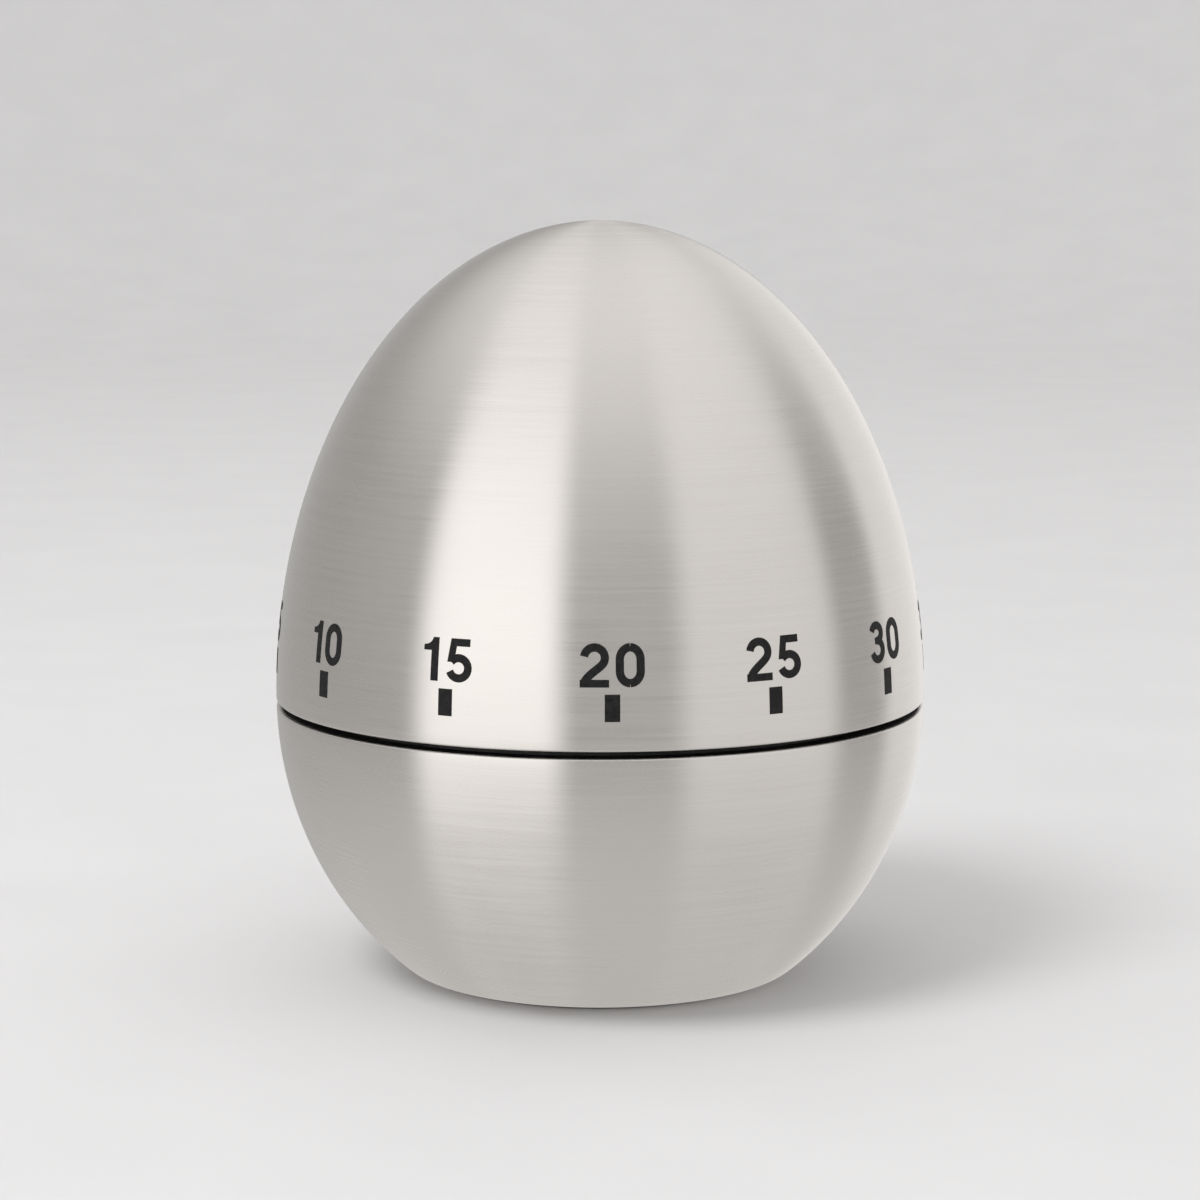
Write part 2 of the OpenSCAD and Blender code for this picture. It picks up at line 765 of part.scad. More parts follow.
// The pins end just above the escape wheel, so that the fork swings freely at every angle of the wheel.
module pallet_fork() {
    to_pallet = direction(escape_at, pallet_at);
    to_balance = direction(pallet_at, balance_at);
    pins = [escape_at + polar(3.5, to_pallet + 55), escape_at + polar(3.5, to_pallet - 55)];
    pin_z = escape_wheel_z + escape_wheel_t + link_gap;
    color(BRIGHT_STEEL) {
        translate([0, 0, fork_z]) linear_extrude(fork_t) difference() {
            union() {
                translate(pallet_at) circle(r = 1.2);
                for (p = pins) bar(pallet_at, p, 0.8);
                bar(pallet_at, pallet_at + polar(4.3, to_balance), 0.9);
                translate(pallet_at) rotate(to_balance) translate([3.2, -0.9]) square([1.6, 1.8]);
            }
            translate(pallet_at) rotate(to_balance) translate([3.9, -0.35]) square([2, 0.7]);
            translate(pallet_at) circle(r = arbor_r + press);
        }
        for (p = pins) at(p, pin_z) cylinder(r = pin_r, h = fork_z - pin_z + overlap);
    }
}

module balance_staff() {
    color(BRIGHT_STEEL) at(balance_at) {
        translate([0, 0, bottom_plate_z]) cylinder(r = staff_pivot_r, h = 1.5);
        body_z = plate_top + shoulder;
        translate([0, 0, body_z]) cylinder(r = staff_r, h = cock_z - 0.2 - body_z);
        translate([0, 0, cock_z - 0.3]) cylinder(r = staff_pivot_r, h = 1.3);
    }
}

module balance_wheel() {
    rim_r = 6.5;
    rim_w = 0.9;
    color(BRASS) at(balance_at, balance_z) linear_extrude(0.8) difference() {
        circle(r = rim_r);
        windows_2d(1.2, rim_r - rim_w, 3, rim_w);
        circle(r = staff_r + press);
    }
}

// The impulse pin ends just above the fork.
module balance_roller() {
    toward = direction(balance_at, pallet_at);
    pin_z = fork_z + fork_t + link_gap;
    color(BRIGHT_STEEL) at(balance_at) {
        translate([0, 0, roller_z]) difference() {
            cylinder(r = 1.8, h = 0.5);
            translate([0, 0, -cut]) cylinder(r = staff_r + press, h = 3);
        }
        rotate(toward) translate([1.35, 0, pin_z]) cylinder(r = 0.2, h = roller_z - pin_z + 0.1);
    }
}

// ---- alarm ----

// The two verge pins end just above the star wheel. The wire goes down through the bottom plate to the head.
module hammer_rocker() {
    to_hammer = direction(third_at, hammer_at);
    pins = [third_at + polar(2.8, to_hammer + 42), third_at + polar(2.8, to_hammer - 42)];
    pin_z = star_z + star_t + link_gap;
    tail = hammer_at + [2.6, 1.45];
    wire_z = 8;
    color(BRIGHT_STEEL) difference() {
        union() {
            at(hammer_at, plate_top + 0.3) cylinder(r = 1.3, h = rocker_z + rocker_t - plate_top - 0.3);
            translate([0, 0, rocker_z]) linear_extrude(rocker_t) {
                for (p = pins) bar(hammer_at, p, 0.9);
                bar(hammer_at, tail, 1);
            }
            translate([0, 0, arm_z]) linear_extrude(0.8) bar(hammer_at, hammer_wire_at, 1.2);
            for (p = pins) at(p, pin_z) cylinder(r = pin_r, h = rocker_z - pin_z + overlap);
            at(hammer_wire_at, wire_z) cylinder(r = hammer_wire_r, h = arm_z - wire_z + overlap);
        }
        at(hammer_at, plate_top) cylinder(r = post_r + running, h = 6);
    }
}

module hammer_head() {
    head_r = 1.7;
    head_h = 3;
    socket_depth = 1.25;
    color(BRASS) at(hammer_wire_at, 6.2) difference() {
        cylinder(r = head_r, h = head_h);
        translate([0, 0, head_h - socket_depth]) cylinder(r = hammer_wire_r + press, h = head_h);
    }
}

// The nose rides over the cam and drops into its notch at zero; the finger holds the hammer's tail.
module release_lever() {
    nose_root = lever_nose_at + polar(1.7, -60);
    finger_z = 15.8;
    color(BRIGHT_STEEL) difference() {
        union() {
            translate([0, 0, cam_z + 0.1]) linear_extrude(0.6) {
                translate(lever_at) circle(r = 1.5);
                bar(lever_at, nose_root, 1);
                bar(nose_root, lever_nose_at, 1);
                bar(lever_at, lever_finger_at, 1.1);
            }
            at(lever_finger_at, finger_z) cylinder(r = 0.45, h = cam_z + 0.2 - finger_z);
        }
        at(lever_at, cam_z) cylinder(r = post_r + running, h = 2);
    }
}

lower_shell();
lower_liner();
pointer_mark();
base_cover();
base_screws();
bottom_plate();
top_plate();
plate_pillars();
pillar_nuts();
movement_screws();
mainspring();
spring_post();
stop_pin();
bell();
bell_post();
bell_screw();
balance_cock();
cock_screw();
hairspring();
hairspring_stud();
hammer_stud();
lever_stud();
upper_shell();
dial_liner();
minute_scale();
main_arbor();
main_wheel();
ratchet_wheel();
arbor_clip();
click_rivet();
click_spring();
stop_finger();
alarm_cam();
click();
second_arbor();
second_wheel();
third_arbor();
third_wheel();
hammer_star();
escape_arbor();
escape_wheel();
pallet_arbor();
pallet_fork();
balance_staff();
balance_wheel();
balance_roller();
hammer_rocker();
hammer_head();
release_lever();
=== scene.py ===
"""Looks of the mechanical egg timer: brushed steel halves, printed minute scale, clockwork inside."""

import json
import math

import bpy
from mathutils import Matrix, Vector
from mathutils.geometry import delaunay_2d_cdt


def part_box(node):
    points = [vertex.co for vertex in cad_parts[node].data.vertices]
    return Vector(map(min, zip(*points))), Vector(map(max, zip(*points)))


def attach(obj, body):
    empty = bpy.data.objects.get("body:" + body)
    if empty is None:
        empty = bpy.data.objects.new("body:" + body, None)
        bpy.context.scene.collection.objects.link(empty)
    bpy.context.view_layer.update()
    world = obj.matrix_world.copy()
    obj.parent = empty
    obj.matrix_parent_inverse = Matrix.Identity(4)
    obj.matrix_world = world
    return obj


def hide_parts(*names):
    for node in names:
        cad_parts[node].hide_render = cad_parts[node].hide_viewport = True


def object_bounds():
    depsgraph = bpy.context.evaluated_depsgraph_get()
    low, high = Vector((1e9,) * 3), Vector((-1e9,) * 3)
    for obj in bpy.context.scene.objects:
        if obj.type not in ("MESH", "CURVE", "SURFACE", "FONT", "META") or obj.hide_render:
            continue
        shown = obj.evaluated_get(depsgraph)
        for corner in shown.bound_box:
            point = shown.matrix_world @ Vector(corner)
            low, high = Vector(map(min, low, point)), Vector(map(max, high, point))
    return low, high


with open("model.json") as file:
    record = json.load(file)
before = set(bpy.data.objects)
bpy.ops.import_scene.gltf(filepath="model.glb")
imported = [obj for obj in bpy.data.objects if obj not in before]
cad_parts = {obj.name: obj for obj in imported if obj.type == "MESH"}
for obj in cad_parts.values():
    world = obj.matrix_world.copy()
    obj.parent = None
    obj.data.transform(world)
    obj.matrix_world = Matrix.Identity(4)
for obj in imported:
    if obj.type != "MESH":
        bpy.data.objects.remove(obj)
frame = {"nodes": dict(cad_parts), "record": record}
cad_low, cad_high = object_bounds()

# ---- sizes, in metres ----

MM = 0.001
EGG_R = 30 * MM
EGG_TOP = cad_high.z
WAIST_Z = 26 * MM
UPPER_AXIS = EGG_TOP - WAIST_Z
LOWER_AXIS = 32 * MM
MEAN_AXIS = 36 * MM
UPPER_RIM_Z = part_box("upper_shell")[0].z
LOWER_RIM_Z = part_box("lower_shell")[1].z
SHELL_BASE_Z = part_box("lower_shell")[0].z
STEEL_T = 0.5 * MM
FLANGE_R = 15.5 * MM
RIM_ROUND = 0.2 * MM
BASE_ROUND = 0.8 * MM

SEGMENTS = 192
COIL_STEPS = 72
SHARP_ANGLE = math.radians(32)

# minute scale: minutes run anticlockwise seen from above, and minute 20 is 2 degrees right of the front
FRONT_MINUTE = 20
FRONT_OFFSET = math.radians(2)
MINUTE_ANGLE = math.radians(5.6)
ZERO_ANGLE = -math.pi / 2 + FRONT_OFFSET - FRONT_MINUTE * MINUTE_ANGLE
DIGIT_H = 3.7 * MM
DIGIT_W = 2.45 * MM
ONE_W = 1.8 * MM
DIGIT_GAP = 0.55 * MM
STROKE = 0.7 * MM
TICK_W = 1.3 * MM
TICK_H = 2.3 * MM
TICK_Z = UPPER_RIM_Z + 2.6 * MM
DIGIT_Z = TICK_Z + TICK_H + 0.6 * MM
POINTER_W = 2.4 * MM
POINTER_H = 3.4 * MM
POINTER_TIP_Z = LOWER_RIM_Z - 1 * MM
INK_PROUD = 0.02 * MM
INK_SUNK = 0.05 * MM
INK_STEP = 0.45 * MM

# springs, as in the CAD: inner and outer radius, turns and thickness of the strip
MAINSPRING_START = math.radians(240)
MAINSPRING_RADII = (2.6 * MM, 10.7 * MM)
MAINSPRING_TURNS = 7
MAINSPRING_T = 0.3 * MM
HAIRSPRING_RADII = (1.05 * MM, 4.05 * MM)
HAIRSPRING_TURNS = 5
HAIRSPRING_T = 0.12 * MM
COCK_FOOT_R = 19 * MM
COCK_FOOT_ANGLE = math.radians(150)

# camera and stage
CAMERA_DISTANCE = 0.288
CAMERA_HEIGHT = 0.075
CAMERA_AIM_Z = 0.0345
CAMERA_LENS = 94
KEY_PLACE = (-0.35, -0.35, 0.7)
KEY_AIM = (0, 0, 0.03)
KEY_SIZE = 0.35
KEY_POWER = 3.0
FLOOR_R = 0.9
FLOOR_Z = -0.05 * MM
WALL_BEND_R = 0.7
WALL_HEIGHT = 1.6


# ---- mesh helpers ----

def add_mesh(name, points, faces):
    """New object of these points and faces, shaded smooth across shallow edges."""
    mesh = bpy.data.meshes.new(name)
    mesh.from_pydata(points, [], faces)
    mesh.validate()
    mesh.shade_smooth()
    mesh.set_sharp_from_angle(angle=SHARP_ANGLE)
    obj = bpy.data.objects.new(name, mesh)
    bpy.context.scene.collection.objects.link(obj)
    return obj


def revolve(name, profile, closed, segments=SEGMENTS):
    """Solid of revolution about Z, from (r, z) points with the material on their left; r = 0 makes a pole."""
    points, rings = [], []
    for r, z in profile:
        if r < 1e-9:
            rings.append([len(points)] * segments)
            points.append((0, 0, z))
            continue
        rings.append([len(points) + i for i in range(segments)])
        for i in range(segments):
            a = 2 * math.pi * i / segments
            points.append((r * math.cos(a), r * math.sin(a), z))
    faces = []
    pairs = zip(rings, rings[1:] + rings[:1]) if closed else zip(rings, rings[1:])
    for low, high in pairs:
        for i in range(segments):
            j = (i + 1) % segments
            corners = [low[i], low[j], high[j], high[i]]
            face = [c for k, c in enumerate(corners) if c not in corners[:k]]
            if len(face) > 2:
                faces.append(face)
    return add_mesh(name, points, faces)


def arc(x, y, rx, ry, start, end, steps):
    """Points along an ellipse's arc, angles in degrees."""
    angles = [math.radians(start + (end - start) * i / steps) for i in range(steps + 1)]
    return [(x + rx * math.cos(a), y + ry * math.sin(a)) for a in angles]


def curve(p0, p1, p2, p3, steps):
    """Points along a cubic curve."""
    made = []
    for i in range(steps + 1):
        t = i / steps
        weights = ((1 - t) ** 3, 3 * t * (1 - t) ** 2, 3 * t * t * (1 - t), t ** 3)
        made.append(tuple(sum(w * p[k] for w, p in zip(weights, (p0, p1, p2, p3))) for k in (0, 1)))
    return made


# ---- the egg's surface ----

def egg_angle(z, inset=0.0):
    """Angle of the ellipse's parameter at height z, on the surface that lies inset under the outside."""
    axis = (LOWER_AXIS if z < WAIST_Z else UPPER_AXIS) - inset
    return math.asin(max(-1.0, min(1.0, (z - WAIST_Z) / axis)))


def egg_point(a, inset=0.0):
    axis = (LOWER_AXIS if a < 0 else UPPER_AXIS) - inset
    return (EGG_R - inset) * math.cos(a), WAIST_Z + axis * math.sin(a)


def egg_radius(z, inset=0.0):
    return egg_point(egg_angle(z, inset), inset)[0]


def egg_side(z0, z1, inset, steps):
    """Points up or down the egg's side, evenly spaced in the ellipse's angle."""
    a0, a1 = egg_angle(z0, inset), egg_angle(z1, inset)
    return [egg_point(a0 + (a1 - a0) * i / steps, inset) for i in range(steps + 1)]


def dial_shell():
    """Upper half: a drawn steel dome with a rounded rim."""
    rim_r = egg_radius(UPPER_RIM_Z)
    inner_r = egg_radius(UPPER_RIM_Z, STEEL_T)
    corner_z = UPPER_RIM_Z + RIM_ROUND
    outer = egg_side(corner_z, EGG_TOP, 0, 80)
    outer[-1] = (0, EGG_TOP)
    inner = egg_side(EGG_TOP - STEEL_T, corner_z, STEEL_T, 40)
    inner[0] = (0, EGG_TOP - STEEL_T)
    rim = arc(inner_r + RIM_ROUND, corner_z, RIM_ROUND, RIM_ROUND, 180, 270, 5)[1:]
    rim += arc(rim_r - RIM_ROUND, corner_z, RIM_ROUND, RIM_ROUND, 270, 360, 5)[:-1]
    return revolve("dial_shell", inner + rim + outer, closed=False)


def cup_shell():
    """Lower half: a steel cup with a rounded rim and a flat base that is folded in under it."""
    rim_r = egg_radius(LOWER_RIM_Z)
    inner_r = egg_radius(LOWER_RIM_Z, STEEL_T)
    corner_z = LOWER_RIM_Z - RIM_ROUND
    base_r = egg_radius(SHELL_BASE_Z)
    bend_z = SHELL_BASE_Z + BASE_ROUND
    floor_z = SHELL_BASE_Z + STEEL_T
    bend_in_z = floor_z + BASE_ROUND / 2
    outer = egg_side(bend_z, corner_z, 0, 48)
    inner = egg_side(corner_z, bend_in_z, STEEL_T, 32)
    rim = arc(rim_r - RIM_ROUND, corner_z, RIM_ROUND, RIM_ROUND, 0, 90, 5)[1:]
    rim += arc(inner_r + RIM_ROUND, corner_z, RIM_ROUND, RIM_ROUND, 90, 180, 5)[:-1]
    bend_start = (base_r - BASE_ROUND, SHELL_BASE_Z)
    bend = curve(bend_start, (base_r, SHELL_BASE_Z), (base_r, SHELL_BASE_Z), outer[0], 8)[:-1]
    inner_bend = curve(inner[-1], (inner[-1][0] - BASE_ROUND / 2, floor_z),
                       (inner[-1][0] - BASE_ROUND / 2, floor_z), (base_r - 1.5 * BASE_ROUND, floor_z), 6)[1:]
    edge = arc(FLANGE_R + STEEL_T / 2, SHELL_BASE_Z + STEEL_T / 2, STEEL_T / 2, STEEL_T / 2, 90, 270, 8)
    return revolve("cup_shell", bend + outer + rim + inner + inner_bend + edge, closed=True)


# ---- printed marks ----

def ribbon(line, width):
    """Outline of a stroke of that width along a line of points, with square ends."""
    left, right = [], []
    for i, (x, y) in enumerate(line):
        before, after = line[max(i - 1, 0)], line[min(i + 1, len(line) - 1)]
        way = Vector((after[0] - before[0], after[1] - before[1])).normalized()
        left.append((x - way.y * width / 2, y + way.x * width / 2))
        right.append((x + way.y * width / 2, y - way.x * width / 2))
    return left[::-1] + right


def digit(n):
    """Outlines of a plain sans serif numeral that stands on y = 0, centred on x = 0."""
    w, h, s = DIGIT_W / 2, DIGIT_H, STROKE
    reach, low, high = w - s / 2, s / 2, h - s / 2
    if n == 0:
        bend = 1.02 * MM
        right = arc(0, high - bend, reach, bend, 90, 0, 10) + arc(0, low + bend, reach, bend, 0, -90, 10)
        return [ribbon(right, s), ribbon([(-x, y) for x, y in right], s)]
    if n == 1:
        stem_r = 0.72 * MM
        stem_l = stem_r - s
        flag = curve((stem_l + 0.2 * s, h), (stem_l, h - 0.55 * MM), (stem_l - 0.45 * MM, h - 0.62 * MM),
                     (stem_l - 0.75 * MM, h - 0.66 * MM), 6)
        return [[(stem_l, 0), (stem_r, 0), (stem_r, h)] + flag
                + [(stem_l - 0.75 * MM, h - 1.12 * MM), (stem_l, h - 1.12 * MM)]]
    if n == 2:
        bowl = arc(0, high - reach, reach, reach, 172, -24, 16)
        foot = (-reach + 0.02 * MM, s * 0.6)
        neck = curve(bowl[-1], (bowl[-1][0] - 0.3 * MM, bowl[-1][1] - 0.55 * MM),
                     (foot[0] + 0.35 * MM, foot[1] + 0.75 * MM), foot, 10)[1:]
        return [ribbon(bowl + neck, s), [(-w, 0), (w, 0), (w, s * 0.92), (-w, s * 0.92)]]
    if n == 3:
        waist = 2.0 * MM
        top_r, bottom_r = (high - waist) / 2, (waist - low) / 2
        top = arc(0, waist + top_r, reach * 0.9, top_r, 165, -90, 18)
        bottom = arc(0, low + bottom_r, reach, bottom_r, 90, -165, 18)
        bar = [(-0.35 * MM, waist - s * 0.42), (0.1 * MM, waist - s * 0.42),
               (0.1 * MM, waist + s * 0.42), (-0.35 * MM, waist + s * 0.42)]
        return [ribbon(top, s), ribbon(bottom, s), bar]
    if n == 4:
        stem_r = 0.8 * MM
        bar_z = 0.85 * MM
        stem = [(stem_r - s, 0), (stem_r, 0), (stem_r, h), (stem_r - s, h)]
        bar = [(-w, bar_z), (w, bar_z), (w, bar_z + s * 0.9), (-w, bar_z + s * 0.9)]
        slope = [(-w, bar_z + s * 0.3), (-w + s * 0.9, bar_z + s * 0.5),
                 (stem_r, h - s), (stem_r - s * 0.85, h)]
        return [stem, bar, slope]
    if n == 6:
        bowl_r = 1.1 * MM
        ring = arc(0, low + bowl_r, reach, bowl_r, 180, -180, 28)
        back = curve((reach * 0.86, high - 0.42 * MM), (reach * 0.1, high + 0.42 * MM),
                     (-reach, high - 0.2 * MM), (-reach, low + bowl_r), 14)
        return [ribbon(ring[:15], s), ribbon(ring[14:], s), ribbon(back, s)]
    top = [(-0.78 * MM, h - s * 0.92), (1.0 * MM, h - s * 0.92), (1.0 * MM, h), (-0.78 * MM, h)]
    back = [(-1.08 * MM, h * 0.46), (-0.42 * MM, h * 0.46), (-0.16 * MM, h), (-0.78 * MM, h)]
    bowl = arc(0, low + 0.86 * MM, reach, 0.86 * MM, 143, -160, 20)
    return [ribbon(bowl, s), top, back]


def filled(outlines):
    """Triangles inside closed outlines, cut along a grid so that the sheet can follow a curved surface."""
    points, faces, edges = [], [], []
    for outline in outlines:
        area = sum(a[0] * b[1] - b[0] * a[1] for a, b in zip(outline, outline[1:] + outline[:1]))
        first = len(points)
        points += [Vector(p) for p in (outline if area > 0 else outline[::-1])]
        faces.append(list(range(first, len(points))))
    xs, ys = [p.x for p in points], [p.y for p in points]
    margin = INK_STEP / 2
    for low, high, other_low, other_high, across in (
            (min(xs), max(xs), min(ys), max(ys), False), (min(ys), max(ys), min(xs), max(xs), True)):
        for i in range(1, math.ceil((high - low) / INK_STEP)):
            c = low + (i - 0.37) * INK_STEP
            ends = [(c, other_low - margin), (c, other_high + margin)]
            points += [Vector(p[::-1] if across else p) for p in ends]
            edges.append((len(points) - 2, len(points) - 1))
    made, _, triangles, _, _, sources = delaunay_2d_cdt(points, edges, faces, 0, 1e-8)
    return made, [t for t, source in zip(triangles, sources) if source]


def printed(place, outlines):
    """Points and faces of a closed film of ink: place turns x, y and a height over the steel into a point."""
    flat, triangles = filled(outlines)
    used = sorted({v for t in triangles for v in t})
    number = {v: i for i, v in enumerate(used)}
    n = len(used)
    points = [place(*flat[v], INK_PROUD) for v in used] + [place(*flat[v], -INK_SUNK) for v in used]
    top = [tuple(number[v] for v in t) for t in triangles]
    sides = {(a, b) for t in top for a, b in zip(t, t[1:] + t[:1])}
    walls = [(a, a + n, b + n, b) for a, b in sorted(sides) if (b, a) not in sides]
    return points, top + [tuple(v + n for v in t[::-1]) for t in top] + walls


def on_egg(angle, foot_z):
    """Place function for marks on the egg: x runs to the right round the egg, y up its side from foot_z."""
    middle = foot_z + DIGIT_H / 2
    turn = 1 / egg_radius(middle)
    lean = math.atan2(egg_radius(foot_z) - egg_radius(middle), DIGIT_H / 2)

    def place(x, y, height):
        z = foot_z + y * math.cos(lean)
        r = egg_radius(z) + height
        a = angle + x * turn
        return r * math.cos(a), r * math.sin(a), z
    return place


def joined(name, parts):
    points, faces = [], []
    for part_points, part_faces in parts:
        first = len(points)
        points += part_points
        faces += [tuple(v + first for v in f) for f in part_faces]
    return add_mesh(name, points, faces)


def minute_marks():
    """Bars and numerals every five minutes round the dial."""
    bar = [(-TICK_W / 2, 0), (TICK_W / 2, 0), (TICK_W / 2, TICK_H), (-TICK_W / 2, TICK_H)]
    parts = []
    for minute in range(0, 65, 5):
        angle = ZERO_ANGLE + minute * MINUTE_ANGLE
        parts.append(printed(on_egg(angle, TICK_Z), [bar]))
        figures = [int(c) for c in str(minute)]
        widths = [ONE_W if figure == 1 else DIGIT_W for figure in figures]
        left = -(sum(widths) + DIGIT_GAP * (len(figures) - 1)) / 2
        for figure, width in zip(figures, widths):
            shift = left + width / 2
            outlines = [[(x + shift, y) for x, y in outline] for outline in digit(figure)]
            parts.append(printed(on_egg(angle, DIGIT_Z), outlines))
            left += width + DIGIT_GAP
    return joined("minute_marks", parts)


def pointer():
    """Triangle under the seam that the minutes are read against."""
    outline = [(-POINTER_W / 2, 0), (POINTER_W / 2, 0), (0, POINTER_H)]
    return joined("pointer", [printed(on_egg(ZERO_ANGLE, POINTER_TIP_Z - POINTER_H), [outline])])


# ---- springs ----

def coil(name, centre, start, radii, turns, thickness):
    """Flat spiral spring in the place of the CAD node of that name, with rounded strip edges."""
    low, high = (corner.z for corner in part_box(name))
    edge = thickness / 4
    section = [(edge, low), (thickness - edge, low), (thickness, low + edge), (thickness, high - edge),
               (thickness - edge, high), (edge, high), (0, high - edge), (0, low + edge)]
    steps, n = int(turns * COIL_STEPS), len(section)
    points = []
    for i in range(steps + 1):
        a = start + 2 * math.pi * turns * i / steps
        r = radii[0] + (radii[1] - radii[0]) * i / steps
        points += [(centre[0] + (r + dr) * math.cos(a), centre[1] + (r + dr) * math.sin(a), z)
                   for dr, z in section]
    faces = [tuple(range(n)), tuple(steps * n + k for k in reversed(range(n)))]
    for i in range(steps):
        for k in range(n):
            m = (k + 1) % n
            faces.append((i * n + k, (i + 1) * n + k, (i + 1) * n + m, i * n + m))
    return add_mesh(name + "_coil", points, faces)


def mainspring():
    return coil("mainspring", (0, 0), MAINSPRING_START, MAINSPRING_RADII, MAINSPRING_TURNS, MAINSPRING_T)


def hairspring():
    """Coil round the balance staff; it starts in the direction of the cock's foot."""
    joints = frame["record"]["behaviour"]["joints"]
    centre = next(joint["pos_m"] for joint in joints if joint["name"] == "balance_swing")
    foot = (COCK_FOOT_R * math.cos(COCK_FOOT_ANGLE), COCK_FOOT_R * math.sin(COCK_FOOT_ANGLE))
    start = math.atan2(foot[1] - centre[1], foot[0] - centre[0])
    return coil("hairspring", centre, start, HAIRSPRING_RADII, HAIRSPRING_TURNS, HAIRSPRING_T)


# ---- materials ----

def add_node(tree, kind, inputs=(), **settings):
    """New shader node: inputs are given by name or number, as a socket to link or as a value."""
    made = tree.nodes.new("ShaderNode" + kind)
    for key, value in settings.items():
        setattr(made, key, value)
    for key, value in dict(inputs).items():
        if isinstance(value, bpy.types.NodeSocket):
            tree.links.new(value, made.inputs[key])
        else:
            made.inputs[key].default_value = value
    return made


def millimetres(tree, scale=(1, 1, 1)):
    """Position on the piece in millimetres, multiplied by scale."""
    place = add_node(tree, "TexCoord").outputs["Object"]
    return add_node(tree, "Mapping", {"Vector": place, "Scale": tuple(s / MM for s in scale)}).outputs[0]


def noise(tree, vector, scale, detail=3.0, roughness=0.5):
    return add_node(tree, "TexNoise", {"Vector": vector, "Scale": scale, "Detail": detail,
                                       "Roughness": roughness}).outputs["Fac"]


def maths(tree, operation, a, b):
    return add_node(tree, "Math", {0: a, 1: b}, operation=operation).outputs[0]


def stretched(tree, vector, scale):
    return add_node(tree, "VectorMath", {0: vector, 1: scale}, operation="MULTIPLY").outputs[0]


def spread(tree, value, low, high, source=(0.3, 0.7)):
    """A noise value taken to the range low to high."""
    return add_node(tree, "MapRange", {"Value": value, "From Min": source[0], "From Max": source[1],
                                       "To Min": low, "To Max": high}).outputs[0]


def socket(sockets, identifier):
    return next(s for s in sockets if s.identifier == identifier)


def tinted(tree, factor, first, second):
    """Colour from first to second as factor goes from 0 to 1."""
    mix = add_node(tree, "Mix", data_type="RGBA")
    socket(mix.inputs, "A_Color").default_value = (*first, 1)
    socket(mix.inputs, "B_Color").default_value = (*second, 1)
    tree.links.new(factor, socket(mix.inputs, "Factor_Float"))
    return socket(mix.outputs, "Result_Color")


def material(name, metallic, roughness, color=(0.5, 0.5, 0.5)):
    made = bpy.data.materials.new(name)
    made.use_nodes = True
    surface = made.node_tree.nodes["Principled BSDF"]
    surface.inputs["Metallic"].default_value = metallic
    surface.inputs["Roughness"].default_value = roughness
    surface.inputs["Base Color"].default_value = (*color, 1)
    return made, made.node_tree, surface


def bumped(tree, surface, heights):
    """Bump from (height socket, depth in metres) pairs, one on the other."""
    normal = None
    for height, depth in heights:
        inputs = {"Height": height, "Distance": depth, "Strength": 1.0}
        if normal:
            inputs["Normal"] = normal
        normal = add_node(tree, "Bump", inputs).outputs[0]
    tree.links.new(normal, surface.inputs["Normal"])


def brushed_egg_steel():
    """Stainless steel, brushed in rings round the egg's axis, so that reflections run along the meridians."""
    made, tree, surface = material("egg_steel", 1, 0.28)
    surface.inputs["Anisotropic"].default_value = 1.0
    surface.inputs["Anisotropic Rotation"].default_value = 0.25
    tangent = add_node(tree, "Tangent", direction_type="RADIAL", axis="Z").outputs[0]
    tree.links.new(tangent, surface.inputs["Tangent"])
    place = millimetres(tree)
    parts = add_node(tree, "SeparateXYZ", {0: place})
    flat = add_node(tree, "CombineXYZ", {0: parts.outputs[0], 1: parts.outputs[1]}).outputs[0]
    radius = add_node(tree, "VectorMath", {0: flat}, operation="LENGTH").outputs["Value"]
    height = maths(tree, "SUBTRACT", parts.outputs[2], WAIST_Z / MM)
    polar = maths(tree, "ARCTAN2", radius, height)
    along = maths(tree, "MULTIPLY", polar, MEAN_AXIS / MM)
    rings = add_node(tree, "CombineXYZ", {0: parts.outputs[0], 1: parts.outputs[1], 2: along}).outputs[0]
    fine = noise(tree, stretched(tree, rings, (0.09, 0.09, 9)), 1, 4, 0.7)
    coarse = noise(tree, stretched(tree, rings, (0.05, 0.05, 2.2)), 1, 3, 0.6)
    cloud = noise(tree, place, 0.09, 3, 0.5)
    wave = noise(tree, place, 0.05, 1, 0.4)
    streak = maths(tree, "ADD", fine, coarse)
    tone = maths(tree, "ADD", streak, cloud)
    tree.links.new(tinted(tree, spread(tree, tone, 0, 1, (1.2, 1.8)), (0.60, 0.58, 0.56), (0.66, 0.64, 0.62)),
                   surface.inputs["Base Color"])
    rough = maths(tree, "ADD", spread(tree, streak, -0.03, 0.03, (0.7, 1.3)), spread(tree, cloud, 0.25, 0.31))
    tree.links.new(rough, surface.inputs["Roughness"])
    bumped(tree, surface, [(wave, 0.08 * MM), (coarse, 0.0012 * MM), (fine, 0.0005 * MM)])
    return made


def ground_steel(name, color, roughness):
    """Turned or ground steel with fine straight lines."""
    made, tree, surface = material(name, 1, roughness, color)
    lines = noise(tree, millimetres(tree, (0.4, 0.4, 12)), 1, 4, 0.65)
    cloud = noise(tree, millimetres(tree), 0.6, 3)
    dark = tuple(c * 0.82 for c in color)
    tree.links.new(tinted(tree, spread(tree, cloud, 0, 1), dark, color), surface.inputs["Base Color"])
    tree.links.new(spread(tree, lines, roughness - 0.07, roughness + 0.09), surface.inputs["Roughness"])
    bumped(tree, surface, [(lines, 0.004 * MM)])
    return made


